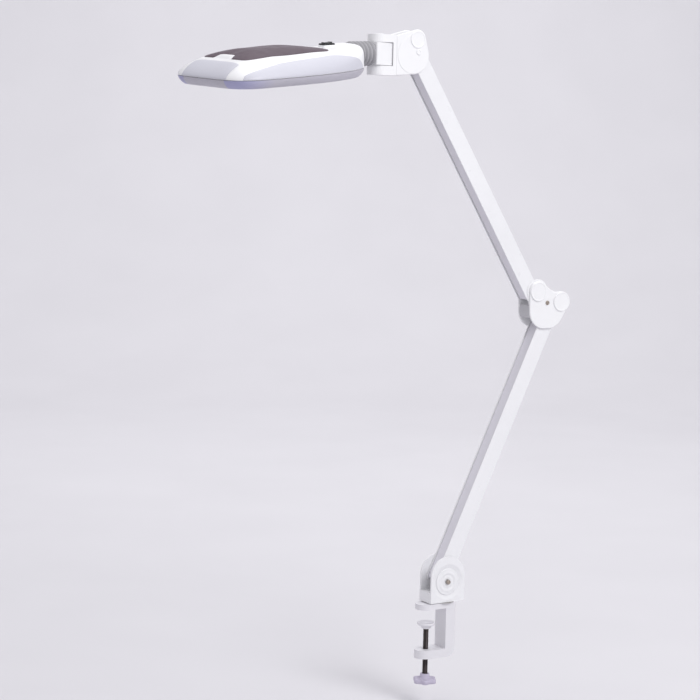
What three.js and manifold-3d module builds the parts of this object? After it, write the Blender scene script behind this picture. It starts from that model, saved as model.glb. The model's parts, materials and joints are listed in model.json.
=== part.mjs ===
// Clamp-on magnifying lamp with a spring-balanced, two-stage parallelogram arm.
// Millimetres, +Z up. The origin is on the underside of the clamp's upper jaw, on the clamp screw's
// axis. The arm works in the XZ plane, and the head reaches out towards -X.
import * as THREE from "three";
import { mergeVertices } from "three/addons/utils/BufferGeometryUtils.js";
import Module from "manifold-3d";

const wasm = await Module();
wasm.setup();

// ---------------------------------------------------------------- driving dimensions
const GAP = 0.3; // clearance between pieces that touch
const DEG = Math.PI / 180;

const CLAMP = {
  depth: 27, jawLeft: -17, jawTop: 8, spineLeft: 25, spineRight: 41, floor: -71, lowerTop: -59,
};
const SCREW = { radius: 4, top: -25, bottom: -106, padTop: -20.3, padRadius: 13 };
const KNOB = {
  radius: 17.5, hub: 6.8, top: -95, shoulder: -99, rim: -102, bottom: -108.5, lobes: 6, scallop: 2.8,
};

const BASE = { x: 26, z: 38.5 }; // lower pivot of the lower arm
const YOKE = { halfWidth: 28.6, bottom: 9.1, webTop: 25.1, archFrom: 47, inner: 11.9, outer: 14.6 };
const DISH = { outer: 25.5, inner: 19.8, depth: 2, disc: 19.4 }; // hollow in each cheek, and its disc
const STUD = { radius: 6, washer: 18 };

const ELBOW_LOW = { x: 213.3, z: 436.1 }; // upper pivot of the lower arm
const ELBOW_HIGH = { x: 171.1, z: 451.5 }; // lower pivot of the upper arm
const ELBOW_LOBE = { x: 183, z: 423.5 };
const ELBOW_HEEL = { x: 191.5, z: 423.5 };
const ELBOW_SCREW = { x: 187.6, z: 434.9 };
const TOP = { x: -49.5, z: 802.7 }; // upper pivot of the upper arm
const BRACKET_LOBE = { x: -56.7, z: 781 };
const BRACKET_CORNERS = [
  { x: -82.2, z: 805.9, r: 1.5 },
  { x: -82.2, z: 754.5, r: 1.5 },
];
const BRACKET_SCREW = { x: -47.6, z: 785.5 };

const ARM = { back: 3.8, front: -20.4, half: 11.2, wall: 1.4, overrun: 8, corner: 7 };
const LINK = { offset: 14, half: 8.8, wall: 1.2, reach: 5 }; // offset is from the arm's pins to the link's
const MAIN_PIN = 3;
const LINK_PIN = 2.5;
const SWING = { low: -58, high: 38 }; // degrees of slot for the link pin, with the pin's own width

const COVER = { inner: 11.9, outer: 15, cap: 16.6 };

const PAN = { x: -104, z: 781.1, low: 752.9, high: 807.5, gapLow: 765.4, gapHigh: 796.9 };
const NECK = { yaw: 8.7 * DEG, face: 15, pivot: 34, bellows: 16.8, bellowsEnd: 53 };
const HEAD = { reach: 222, z: 746, pitch: 5.7 * DEG, roll: 4.1 * DEG };
const CROWN = { front: 74, rear: 185.4, half: 79.8, frontPower: 4.3, rearPower: 2, height: 33, wall: 2.2 };
const SADDLE = { x: 120, dip: 6, reach: 32 }; // hollow across the crown behind the dust cover
// Plan of the dust cover.
const WINDOW = { x: 33, halfLength: 75, half: 49, frontPower: 8, rearPower: 5, lip: 4 };
const COVER_RIM = { under: 1.1, over: 2.5, dome: 0.6 }; // dust cover's heights over the crown
const LENS = { x: 6, radius: 63.5, edge: 1.5, bulge: 4.5, z: -1 };
const FLOOR = { z: -11.6, thick: 2, hole: 69 };
const HINGE = { x: 110.5, radius: 1.3, half: 20 };
const SWITCH = { x: 134, y: 2, length: 19, width: 13 };

// ---------------------------------------------------------------- materials
const finish = (color, roughness, metalness = 0) =>
  new THREE.MeshStandardMaterial({ color, roughness, metalness });
const white = finish(0xf3f3f5, 0.35);
const cast = finish(0xe4e2e8, 0.45);
const panelGrey = finish(0xd2d2dc, 0.45);
const shellGrey = finish(0xafacba, 0.5);
const linkGrey = finish(0xc6c3cd, 0.45);
const knobLilac = finish(0xc0b8ce, 0.5);
const steel = finish(0xb9b9bd, 0.3, 1);
const darkSteel = finish(0x3c3737, 0.45, 0.8);
const rubber = finish(0x9e9da3, 0.75);
const black = finish(0x17171a, 0.4);
const smoke = finish(0x73676f, 0.25);
const glass = finish(0xdfeef2, 0.05);
const board = finish(0xe9efe9, 0.6);
const milky = finish(0xf4f4ee, 0.5);

// ---------------------------------------------------------------- solids and booleans
// Closed geometry as a manifold, with shared corners merged and empty triangles dropped.
function solid(geometry) {
  const bare = new THREE.BufferGeometry();
  const source = geometry.index ? geometry.toNonIndexed() : geometry;
  bare.setAttribute("position", source.getAttribute("position"));
  const merged = mergeVertices(bare, 1e-4);
  const index = merged.index.array;
  const kept = [];
  for (let i = 0; i < index.length; i += 3) {
    const [a, b, c] = [index[i], index[i + 1], index[i + 2]];
    if (a !== b && b !== c && c !== a) kept.push(a, b, c);
  }
  const vertProperties = merged.attributes.position.array;
  const build = (tris) =>
    new wasm.Manifold(new wasm.Mesh({ numProp: 3, vertProperties, triVerts: new Uint32Array(tris) }));
  const made = build(kept);
  return made.volume() > 0 ? made : build(kept.reverse());
}

function geometryOf(manifold) {
  const mesh = manifold.getMesh();
  const geometry = new THREE.BufferGeometry();
  geometry.setAttribute("position", new THREE.BufferAttribute(new Float32Array(mesh.vertProperties), 3));
  geometry.setIndex(new THREE.BufferAttribute(new Uint32Array(mesh.triVerts), 1));
  geometry.computeVertexNormals();
  return geometry;
}

const cut = (body, ...tools) =>
  geometryOf(tools.reduce((made, tool) => made.subtract(solid(tool)), solid(body)));
const join = (...bodies) => geometryOf(bodies.map(solid).reduce((made, next) => made.add(next)));
const keepInside = (body, tool) => geometryOf(solid(body).intersect(solid(tool)));

// ---------------------------------------------------------------- basic shapes
const box = (x0, x1, y0, y1, z0, z1) =>
  new THREE.BoxGeometry(x1 - x0, y1 - y0, z1 - z0).translate((x0 + x1) / 2, (y0 + y1) / 2, (z0 + z1) / 2);

// A plate whose outline is drawn in the XZ plane, from y0 to y1.
const plateY = (shape, y0, y1, curveSegments = 8) =>
  new THREE.ExtrudeGeometry(shape, { depth: y1 - y0, bevelEnabled: false, curveSegments })
    .rotateX(Math.PI / 2)
    .translate(0, y1, 0);

// A plate whose outline is drawn in the XY plane, from z0 to z1.
const plateZ = (shape, z0, z1, curveSegments = 8) =>
  new THREE.ExtrudeGeometry(shape, { depth: z1 - z0, bevelEnabled: false, curveSegments })
    .translate(0, 0, z0);

const rodY = (radius, y0, y1, x = 0, z = 0, sides = 12) =>
  new THREE.CylinderGeometry(radius, radius, y1 - y0, sides).translate(x, (y0 + y1) / 2, z);

const rodZ = (radius, z0, z1, x = 0, y = 0, sides = 16) =>
  new THREE.CylinderGeometry(radius, radius, z1 - z0, sides)
    .rotateX(Math.PI / 2)
    .translate(x, y, (z0 + z1) / 2);

const rodX = (radius, x0, x1, y = 0, z = 0, sides = 24) =>
  new THREE.CylinderGeometry(radius, radius, x1 - x0, sides)
    .rotateZ(Math.PI / 2)
    .translate((x0 + x1) / 2, y, z);

// A turned piece: profile points are [radius, distance along the axis].
const turned = (profile, sides = 24) =>
  geometryOf(solid(new THREE.LatheGeometry(profile.map(([r, h]) => new THREE.Vector2(r, h)), sides)));
const turnedZ = (profile, sides) => turned(profile, sides).rotateX(Math.PI / 2);
const turnedX = (profile, sides) => turned(profile, sides).rotateZ(-Math.PI / 2);

const hole = (x, z, radius) => new THREE.Path().absarc(x, z, radius, 0, 2 * Math.PI, true);

function rounded(x0, x1, z0, z1, r) {
  const shape = new THREE.Shape();
  shape.absarc(x1 - r, z1 - r, r, 0, Math.PI / 2, false);
  shape.absarc(x0 + r, z1 - r, r, Math.PI / 2, Math.PI, false);
  shape.absarc(x0 + r, z0 + r, r, Math.PI, 1.5 * Math.PI, false);
  shape.absarc(x1 - r, z0 + r, r, 1.5 * Math.PI, 2 * Math.PI, false);
  return shape;
}

// The outline that a belt round the given circles would follow.
function belt(circles, steps = 22) {
  const points = circles.flatMap(({ x, z, r }) =>
    Array.from({ length: steps }, (_, i) => {
      const angle = (2 * Math.PI * i) / steps;
      return new THREE.Vector2(x + r * Math.cos(angle), z + r * Math.sin(angle));
    }),
  );
  points.sort((a, b) => a.x - b.x || a.y - b.y);
  const turn = (o, a, b) => (a.x - o.x) * (b.y - o.y) - (a.y - o.y) * (b.x - o.x);
  const half = (list) => {
    const chain = [];
    for (const p of list) {
      while (chain.length > 1 && turn(chain.at(-2), chain.at(-1), p) <= 1e-6) chain.pop();
      chain.push(p);
    }
    return chain.slice(0, -1);
  };
  return new THREE.Shape([...half(points), ...half([...points].reverse())]);
}

// A ring-like solid: the closed loop of points loopAt(angle) swept once round.
function sweptRing(steps, loopAt) {
  const loops = Array.from({ length: steps }, (_, i) => loopAt((2 * Math.PI * i) / steps));
  const size = loops[0].length;
  const index = [];
  for (let i = 0; i < steps; i++)
    for (let j = 0; j < size; j++) {
      const [a, b] = [i * size + j, i * size + ((j + 1) % size)];
      const [c, d] = [((i + 1) % steps) * size + j, ((i + 1) % steps) * size + ((j + 1) % size)];
      index.push(a, c, b, b, c, d);
    }
  const geometry = new THREE.BufferGeometry();
  geometry.setAttribute("position", new THREE.Float32BufferAttribute(loops.flat(2), 3));
  geometry.setIndex(index);
  return geometryOf(solid(geometry));
}

// A thin curved solid between two surfaces, each a function of u and v from 0 to 1.
function skin(columns, rows, outer, inner) {
  const points = [];
  for (const face of [outer, inner])
    for (let i = 0; i <= columns; i++) {
      for (let j = 0; j <= rows; j++) points.push(face(i / columns, j / rows));
    }
  const inside = (columns + 1) * (rows + 1);
  const at = (i, j) => i * (rows + 1) + j;
  const index = [];
  const quad = (a, b, c, d) => index.push(a, b, c, a, c, d);
  for (let i = 0; i < columns; i++)
    for (let j = 0; j < rows; j++) {
      quad(at(i, j), at(i + 1, j), at(i + 1, j + 1), at(i, j + 1));
      quad(inside + at(i, j), inside + at(i, j + 1), inside + at(i + 1, j + 1), inside + at(i + 1, j));
    }
  const wall = (a, b) => quad(b, a, inside + a, inside + b);
  for (let i = 0; i < columns; i++) {
    wall(at(i, 0), at(i + 1, 0));
    wall(at(i + 1, rows), at(i, rows));
  }
  for (let j = 0; j < rows; j++) {
    wall(at(0, j + 1), at(0, j));
    wall(at(columns, j), at(columns, j + 1));
  }
  const geometry = new THREE.BufferGeometry();
  geometry.setAttribute("position", new THREE.Float32BufferAttribute(points.flat(), 3));
  geometry.setIndex(index);
  return geometryOf(solid(geometry));
}

// ---------------------------------------------------------------- assembly helpers
const lamp = new THREE.Group();

function add(name, geometry, material, parent = lamp) {
  const mesh = new THREE.Mesh(geometry, material.clone());
  mesh.name = name;
  parent.add(mesh);
}

const lean = (from, to) => Math.atan2(to.x - from.x, to.z - from.z);
const span = (from, to) => Math.hypot(to.x - from.x, to.z - from.z);

// The link's pin beside an arm's pivot, on the side that faces the head.
function linkPin(pivot, angle) {
  return { x: pivot.x - LINK.offset * Math.cos(angle), z: pivot.z + LINK.offset * Math.sin(angle) };
}

const LOWER = { angle: lean(BASE, ELBOW_LOW), length: span(BASE, ELBOW_LOW) };
const UPPER = { angle: lean(ELBOW_HIGH, TOP), length: span(ELBOW_HIGH, TOP) };
const BASE_LINK = linkPin(BASE, LOWER.angle);
const ELBOW_LOW_LINK = linkPin(ELBOW_LOW, LOWER.angle);
const ELBOW_HIGH_LINK = linkPin(ELBOW_HIGH, UPPER.angle);
const TOP_LINK = linkPin(TOP, UPPER.angle);

// ---------------------------------------------------------------- table clamp
function clampFrame() {
  const { jawLeft, jawTop, spineLeft, spineRight, floor, lowerTop, depth } = CLAMP;
  const bend = 12;
  const outline = new THREE.Shape();
  outline.moveTo(jawLeft, 0);
  outline.lineTo(spineLeft, 0);
  outline.lineTo(spineLeft, lowerTop);
  outline.lineTo(jawLeft, lowerTop);
  outline.lineTo(jawLeft, floor);
  outline.absarc(spineRight - bend, floor + bend, bend, 1.5 * Math.PI, 2 * Math.PI, false);
  outline.absarc(spineRight - 3, jawTop - 3, 3, 0, Math.PI / 2, false);
  outline.lineTo(jawLeft, jawTop);
  const half = depth / 2;
  const plan = new THREE.Shape();
  plan.absarc(jawLeft + half, 0, half, Math.PI / 2, 1.5 * Math.PI, false);
  plan.lineTo(spineRight, -half);
  plan.lineTo(spineRight, half);
  const bent = keepInside(plateY(outline, -half, half), plateZ(plan, floor - 1, jawTop + 1, 14));
  const screwHole = rodZ(SCREW.radius + 0.35, floor - 1, lowerTop + 1);
  return cut(bent, screwHole, rodZ(STUD.radius + GAP, 1, jawTop + 1, BASE.x));
}

function clampKnob() {
  const { radius, hub, top, shoulder, rim, bottom, lobes, scallop } = KNOB;
  const bore = SCREW.radius + GAP;
  return sweptRing(48, (angle) => {
    const edge = radius - scallop * (0.5 - 0.5 * Math.cos(lobes * angle));
    const at = (r, z) => [r * Math.cos(angle), r * Math.sin(angle), z];
    const flange = [at(bore, bottom), at(edge, bottom), at(edge, rim)];
    return [...flange, at(hub, shoulder), at(hub, top), at(bore, top)];
  });
}

function pressurePad() {
  const { padTop, padRadius: r, top } = SCREW;
  const socket = SCREW.radius + GAP;
  return turnedZ([[0, padTop], [r, padTop], [r, padTop - 3], [7, padTop - 9], [socket, padTop - 9],
    [socket, top + GAP], [0, top + GAP]]);
}

add("clamp_frame", clampFrame(), cast);
add("swivel_stud", rodZ(STUD.radius, 1.4, YOKE.webTop - 1, BASE.x), steel);
add("pressure_pad", pressurePad(), cast);
add("clamp_screw", rodZ(SCREW.radius, SCREW.bottom, SCREW.top), darkSteel);
add("clamp_knob", clampKnob(), knobLilac);

// ---------------------------------------------------------------- swivelling base yoke
function baseYoke() {
  const { halfWidth, bottom, webTop, archFrom, inner, outer } = YOKE;
  const cheek = new THREE.Shape();
  cheek.moveTo(BASE.x - halfWidth, bottom);
  cheek.lineTo(BASE.x + halfWidth, bottom);
  cheek.absarc(BASE.x, archFrom, halfWidth, 0, Math.PI, false);
  const full = plateY(cheek, -outer, outer, 12);
  const throat = box(BASE.x - 40, BASE.x + 40, -inner, inner, webTop, 90);
  return cut(
    full,
    throat,
    rodZ(STUD.radius + GAP, bottom - 1, webTop + 1, BASE.x),
    rodY(MAIN_PIN + GAP, -20, 20, BASE.x, BASE.z),
    rodY(LINK_PIN + GAP, -20, 20, BASE_LINK.x, BASE_LINK.z),
    dish(-1),
    dish(1),
  );
}

// Shallow round hollow in the outside of a cheek. side is -1 near and +1 far.
function dish(side) {
  const { outer, inner, depth } = DISH;
  const [floor, top] = [YOKE.outer - depth, YOKE.outer];
  const profile = [[0, floor], [inner, floor], [outer, top], [outer, top + 1], [0, top + 1], [0, floor]];
  return sided(turned(profile, 32), side);
}

const sided = (shape, side) => (side < 0 ? shape.rotateZ(Math.PI) : shape).translate(BASE.x, 0, BASE.z);

// Disc in the bottom of the hollow, with two raised rings.
function sideDisc(side) {
  const y = YOKE.outer - DISH.depth + 0.1;
  const ridge = [[12.8, y + 0.8], [12, y + 1.3], [10.8, y + 1.3], [10, y + 0.8]];
  const profile = [[3.6, y], [DISH.disc, y], [DISH.disc, y + 0.8], ...ridge, [3.6, y + 0.8], [3.6, y]];
  return sided(turned(profile, 26), side);
}

// A cheese-head screw that faces out of the near side, with its head's underside at y = -seat.
const nearScrew = ({ x, z }, seat) =>
  join(rodY(3.2, -seat - 1.3, -seat, x, z), rodY(1.6, -seat, 3 - seat, x, z, 10));

add("swivel_washer", turnedZ([[STUD.radius + GAP, 8.3], [STUD.washer, 8.3], [STUD.washer, 8.8],
  [STUD.radius + GAP, 8.8], [STUD.radius + GAP, 8.3]], 28).translate(BASE.x, 0, 0), steel);
add("base_yoke", baseYoke(), white);
add("base_pivot_pin", rodY(MAIN_PIN, -YOKE.outer, YOKE.outer, BASE.x, BASE.z), steel);
const linkPinEnd = YOKE.outer - DISH.depth - 0.1;
add("base_link_pin", rodY(LINK_PIN, -linkPinEnd, linkPinEnd, BASE_LINK.x, BASE_LINK.z), steel);
for (const [side, word] of [[-1, "near"], [1, "far"]]) {
  add(`base_disc_${word}`, sideDisc(side), white);
  const y0 = YOKE.outer + GAP;
  const [from, to] = [side * y0, side * (y0 + 2.6)];
  add(`base_screw_${word}`, rodY(3.2, Math.min(from, to), Math.max(from, to), BASE.x, BASE.z), steel);
}

// ---------------------------------------------------------------- arms
// Arm pieces are made with +Z along the arm from its lower pivot, and the link on the -X side.

// Room for the link's pin, which moves on an arc about the arm's pivot as the arm swings.
function pinSlot(z) {
  const [low, high] = [(180 - SWING.low) * DEG, (180 + SWING.high) * DEG];
  const clear = LINK_PIN + 0.5;
  const [from, to] = [Math.min(Math.PI - (low - Math.PI), high), Math.max(Math.PI - (low - Math.PI), high)];
  const slot = new THREE.Shape();
  slot.absarc(0, z, LINK.offset + clear, from, to, false);
  slot.absarc(0, z, LINK.offset - clear, to, from, true);
  return plateY(slot, -20, 20, 6);
}

function armChannel(length, grommetZ) {
  const { back, front, half, wall, overrun, corner } = ARM;
  const outline = rounded(front, back, -overrun, length + overrun, corner);
  const inside = box(front - 1, back - wall, -half + wall, half - wall, -overrun - 1, length + overrun + 1);
  const shell = cut(plateY(outline, -half, half, 4), inside);
  const cutters = [pinSlot(0), pinSlot(length)];
  for (const z of [0, length]) cutters.push(rodY(MAIN_PIN + GAP, -20, 20, 0, z));
  if (grommetZ) cutters.push(rodX(4.5, 0, 10, 0, grommetZ, 14));
  const anchors = [0.16, 0.84].map((t) => rodY(1.5, -half + wall / 2, half - wall / 2, 0.6, t * length, 8));
  return join(cut(shell, ...cutters), ...anchors);
}

function armLink(length) {
  const { offset, half, wall, reach } = LINK;
  const outline = rounded(-offset - reach, -offset + reach, -reach, length + reach, reach - 0.01);
  const inside = box(-offset - reach + wall, 0, -half + wall, half - wall, -20, length + 20);
  const shell = cut(plateY(outline, -half, half, 5), inside);
  return cut(shell, ...[0, length].map((z) => rodY(LINK_PIN + GAP, -20, 20, -offset, z)));
}

// Extension spring between the arm's two anchors, as its outer shape with a rib every few coils.
function armSpring(length) {
  const [from, to] = [0.16 * length + 2.6, 0.84 * length - 2.6];
  const ribs = 5;
  const pitch = (to - from) / ribs;
  const profile = [[0, from]];
  for (let i = 0; i < ribs; i++)
    profile.push([3.4, from + (i + 0.05) * pitch], [4.2, from + (i + 0.5) * pitch]);
  profile.push([3.4, to], [0, to]);
  return turnedZ(profile, 8).translate(-2.4, 0, 0);
}

function addArm(name, pivot, { angle, length }, grommetZ) {
  const arm = new THREE.Group();
  arm.position.set(pivot.x, 0, pivot.z);
  arm.rotation.y = angle;
  lamp.add(arm);
  add(`${name}_channel`, armChannel(length, grommetZ), white, arm);
  add(`${name}_link`, armLink(length), linkGrey, arm);
  add(`${name}_spring`, armSpring(length), steel, arm);
  return arm;
}

const GROMMET_Z = 46;
const lowerArm = addArm("lower_arm", BASE, LOWER, GROMMET_Z);
addArm("upper_arm", ELBOW_HIGH, UPPER);
const grommetProfile = [[2.6, 1.2], [4.2, 1.2], [4.2, 4.8], [6.2, 4.8], [6.2, 6.2], [2.6, 6.2], [2.6, 1.2]];
add("cord_grommet", turnedX(grommetProfile, 16).translate(0, 0, GROMMET_Z), black, lowerArm);

// ---------------------------------------------------------------- elbow and head bracket housings
// A pair of side covers with round caps over the pivots, and their pins.
function addHousing(name, circles, pivots, screw) {
  for (const [side, word] of [[-1, "near"], [1, "far"]]) {
    const outline = belt(circles);
    for (const { at, link } of pivots) {
      outline.holes.push(hole(at.x, at.z, MAIN_PIN + GAP));
      outline.holes.push(hole(link.x, link.z, LINK_PIN + GAP));
    }
    if (side < 0) outline.holes.push(hole(screw.x, screw.z, 1.9));
    const [y0, y1] = side < 0 ? [-COVER.outer, -COVER.inner] : [COVER.inner, COVER.outer];
    add(`${name}_cover_${word}`, plateY(outline, y0, y1, 6), white);
    for (const { at, link, radius, label } of pivots) {
      const centre = { x: at.x + 0.12 * (link.x - at.x), z: at.z + 0.12 * (link.z - at.z) };
      add(`${name}_cap_${label}${word}`, capDisc(side, centre, radius), white);
    }
  }
  add(`${name}_screw`, nearScrew(screw, COVER.outer + 0.2), steel);
  for (const { at, link, label } of pivots) {
    const half = COVER.outer - 0.2;
    add(`${name}_${label}pivot_pin`, rodY(MAIN_PIN, -half, half, at.x, at.z), steel);
    add(`${name}_${label}link_pin`, rodY(LINK_PIN, -half, half, link.x, link.z), steel);
  }
}

function capDisc(side, at, radius) {
  const y = COVER.outer + GAP;
  const rim = [[radius, y], [radius, COVER.cap - 0.5], [radius - 0.7, COVER.cap]];
  const disc = turned([[0, y], ...rim, [0, COVER.cap]], 18);
  return (side < 0 ? disc.rotateZ(Math.PI) : disc).translate(at.x, 0, at.z);
}

addHousing(
  "elbow",
  [{ ...ELBOW_LOW, r: 15 }, { ...ELBOW_HIGH, r: 15 }, { ...ELBOW_LOBE, r: 26 }, { ...ELBOW_HEEL, r: 26 }],
  [
    { at: ELBOW_LOW, link: ELBOW_LOW_LINK, radius: 12.5, label: "lower_" },
    { at: ELBOW_HIGH, link: ELBOW_HIGH_LINK, radius: 12.5, label: "upper_" },
  ],
  ELBOW_SCREW,
);
add("elbow_front_wall", box(157.4, 160.2, -COVER.inner + GAP, COVER.inner - GAP, 414.5, 428.5), white);

addHousing(
  "bracket",
  [{ ...BRACKET_LOBE, r: 26 }, { ...TOP, r: 13.5 }, ...BRACKET_CORNERS],
  [{ at: TOP, link: TOP_LINK, radius: 11.5, label: "" }],
  BRACKET_SCREW,
);

// C-shaped yoke that holds the pan pin upright between its two round-ended arms.
function bracketYoke() {
  const inner = COVER.inner - GAP;
  const plan = new THREE.Shape();
  plan.absarc(PAN.x, 0, COVER.outer, Math.PI / 2, 1.5 * Math.PI, false);
  plan.lineTo(-84, -COVER.outer);
  plan.lineTo(-84, -inner);
  plan.lineTo(-75.5, -inner);
  plan.lineTo(-75.5, inner);
  plan.lineTo(-84, inner);
  plan.lineTo(-84, COVER.outer);
  return cut(
    plateZ(plan, PAN.low, PAN.high, 10),
    rodZ(21, PAN.gapLow, PAN.gapHigh, PAN.x, 0, 36),
    box(-125, PAN.x, -30, 30, PAN.gapLow, PAN.gapHigh),
    rodZ(MAIN_PIN + 1 + GAP, PAN.low - 1, PAN.high + 1, PAN.x),
  );
}

const PAN_PIN = MAIN_PIN + 1;
add("bracket_yoke", bracketYoke(), white);
add("pan_pin", turnedZ([[0, PAN.low - 1.5], [PAN_PIN, PAN.low - 1.5], [PAN_PIN, PAN.high + GAP],
  [7, PAN.high + GAP], [7, PAN.high + 1.6], [6, PAN.high + 2.4], [0, PAN.high + 2.4]], 20)
  .translate(PAN.x, 0, 0), white);

// ---------------------------------------------------------------- pan knuckle and neck
// These are made with the pan axis at the origin and the neck pointing along -X, then turned.
const neck = new THREE.Group();
neck.position.set(PAN.x, 0, PAN.z);
neck.rotation.z = NECK.yaw;
lamp.add(neck);

function panKnuckle() {
  const [low, high] = [PAN.gapLow + 0.5 - PAN.z, PAN.gapHigh - 0.5 - PAN.z];
  const drum = rodZ(20.2, low, high, 0, 0, 32);
  const block = box(-NECK.face, 25, -13, 13, low - 1, high + 1);
  return cut(keepInside(drum, block), rodZ(PAN_PIN + GAP, -40, 40), rodX(4.3, -20, -7));
}

function neckStem() {
  const { face, pivot } = NECK;
  const spigot = [[0, 7.6], [4, 7.6], [4, face + GAP], [12.5, face + GAP], [12.5, face + 3], [6, face + 3],
    [6, pivot - 8.6], [0, pivot - 8.6]];
  const spine = turnedX(spigot, 20).rotateZ(Math.PI);
  const eye = plateY(belt([{ x: -pivot, z: 0, r: 6.6 }, { x: -pivot + 9, z: 0, r: 5 }], 20), -3.6, 3.6);
  return cut(join(spine, eye), rodY(LINK_PIN + GAP, -10, 10, -pivot, 0));
}

// Corrugated sleeve round the neck joint, open at both ends.
function bellows() {
  const { bellows: outer, bellowsEnd, face } = NECK;
  const ridges = 6;
  const start = face + 3.4;
  const pitch = (bellowsEnd - start) / ridges;
  const profile = [[13.4, start]];
  for (let i = 0; i < ridges; i++)
    profile.push([outer, start + (i + 0.3) * pitch], [outer, start + (i + 0.7) * pitch],
      [outer - 2, start + (i + 1) * pitch]);
  profile.push([13.4, bellowsEnd], [13.4, start]);
  return turnedX(profile, 18).rotateZ(Math.PI);
}

add("pan_knuckle", panKnuckle(), white, neck);
add("neck_stem", neckStem(), steel, neck);
const sleeve = new THREE.Group();
sleeve.rotation.y = -3.4 * DEG;
neck.add(sleeve);
add("neck_bellows", bellows().translate(0, 0, 1), rubber, sleeve);

// The forked bracket, with the head: it carries the tilt pin.
function tiltFork() {
  const x = -NECK.pivot;
  const cheeks = plateY(belt([{ x, z: 0, r: 6.6 }, { x: x - 16, z: 0, r: 6 }], 20), -7.4, 7.4);
  const throat = box(x - 8.2, x + 10, -4.2, 4.2, -10, 10);
  return cut(cheeks, throat, rodY(LINK_PIN + GAP, -10, 10, x, 0));
}
add("tilt_fork", tiltFork(), darkSteel, neck);
add("tilt_pin", rodY(LINK_PIN, -8.6, 8.6, -NECK.pivot, 0), steel, neck);

// ---------------------------------------------------------------- head
// Head pieces are made about the seam plane: +X to the neck, +Y to the far side, +Z up.
const head = new THREE.Group();
head.position.set(PAN.x - HEAD.reach * Math.cos(NECK.yaw), -HEAD.reach * Math.sin(NECK.yaw), HEAD.z);
head.rotation.order = "ZYX";
head.rotation.set(HEAD.roll, -HEAD.pitch, NECK.yaw);
lamp.add(head);

// Plan of the head: a blunt superellipse in front that draws in to the neck behind.
function planShare(x, y) {
  const [length, power] = x < 0 ? [CROWN.front, CROWN.frontPower] : [CROWN.rear, CROWN.rearPower];
  return (Math.abs(x / length) ** power + Math.abs(y / CROWN.half) ** power) ** (1 / power);
}

// How square the crown's section is: a soft slope in front, round sides and a blunt rear.
function crownPower(x, y) {
  const along = x / (x < 0 ? CROWN.front : CROWN.rear);
  const share = along / (Math.hypot(along, y / CROWN.half) || 1);
  return share < 0 ? 2 + 0.5 * share : 2 + 6 * share ** 3;
}

// Height of the crown's ridge, which dips behind the dust cover.
const ridge = (x) => CROWN.height - SADDLE.dip * Math.exp(-(((x - SADDLE.x) / SADDLE.reach) ** 2));

function crownHeight(x, y) {
  const power = crownPower(x, y);
  return ridge(x) * Math.max(0, 1 - planShare(x, y) ** power) ** (1 / power);
}

// Direction in plan for an even spacing round the outline.
function planDirection(angle) {
  const x = Math.cos(angle) * (Math.cos(angle) < 0 ? CROWN.front : CROWN.rear);
  const y = Math.sin(angle) * CROWN.half;
  const size = Math.hypot(x, y);
  return [x / size, y / size];
}

// Distance from the head's centre to where the given share function passes 1.
function reachOf(share, [dx, dy]) {
  let [low, high] = [0, 400];
  for (let i = 0; i < 40; i++) {
    const middle = (low + high) / 2;
    if (share(middle * dx, middle * dy) < 1) low = middle;
    else high = middle;
  }
  return low;
}

const windowShare = (inset) => (x, y) => {
  const power = x < WINDOW.x ? WINDOW.frontPower : WINDOW.rearPower;
  const along = Math.abs((x - WINDOW.x) / (WINDOW.halfLength - inset));
  return (along ** power + Math.abs(y / (WINDOW.half - inset)) ** power) ** (1 / power);
};

const neckPocket = () => rodX(19, 167, 215, 0, 16.5, 32);
const HINGE_Z = crownHeight(HINGE.x, 0) + 0.1;
const ROUND = 36; // steps round the head's shells

function upperShell() {
  const rows = 5;
  const loopAt = (angle) => {
    const direction = planDirection(angle);
    const [dx, dy] = direction;
    const edge = reachOf(planShare, direction);
    const opening = reachOf(windowShare(WINDOW.lip), direction) / edge;
    const power = crownPower(dx, dy);
    const top = Math.acos(opening ** (power / 2));
    const row = (wall) =>
      Array.from({ length: rows + 1 }, (_, j) => {
        const tilt = (top * j) / rows;
        const r = (edge - wall) * Math.cos(tilt) ** (2 / power);
        return [r * dx, r * dy, (ridge(r * dx) - wall) * Math.sin(tilt) ** (2 / power)];
      });
    return [...row(0), ...row(CROWN.wall).reverse()];
  };
  const groove = rodY(HINGE.radius + GAP, -HINGE.half - GAP, HINGE.half + GAP, HINGE.x, HINGE_Z);
  return cut(sweptRing(ROUND, loopAt), neckPocket(), groove);
}

function lowerShell() {
  const seam = -0.6;
  const outer = [[0, seam], [0.6, -3], [2, -5.6], [4.2, -8.2], [6.6, -10.2], [8.8, FLOOR.z]];
  const inner = [[9.6, FLOOR.z + FLOOR.thick], [6.2, -7.4], [4.2, -5], [3, -3], [2.4, seam]];
  const holeShare = (x, y) => Math.hypot(x - LENS.x, y) / FLOOR.hole;
  const loopAt = (angle) => {
    const direction = planDirection(angle);
    const edge = reachOf(planShare, direction);
    const rim = reachOf(holeShare, direction);
    const at = (r, z) => [r * direction[0], r * direction[1], z];
    return [
      ...outer.map(([inset, z]) => at(edge - inset, z)),
      at(rim, FLOOR.z),
      at(rim, FLOOR.z + FLOOR.thick),
      ...inner.map(([inset, z]) => at(Math.max(edge - inset, rim + 0.6), z)),
    ];
  };
  return cut(sweptRing(ROUND, loopAt), neckPocket());
}

// A point on the crown at height z in the direction of the given angle, lifted off the surface.
function crownPoint(angle, z, lift) {
  const direction = planDirection(angle);
  const power = crownPower(...direction);
  const edge = reachOf(planShare, direction) + lift;
  let r = edge;
  for (let i = 0; i < 6; i++) {
    const height = ridge(r * direction[0]) + lift;
    r = edge * (1 - (z / height) ** power) ** (1 / power);
  }
  return [r * direction[0], r * direction[1], z];
}

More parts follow.
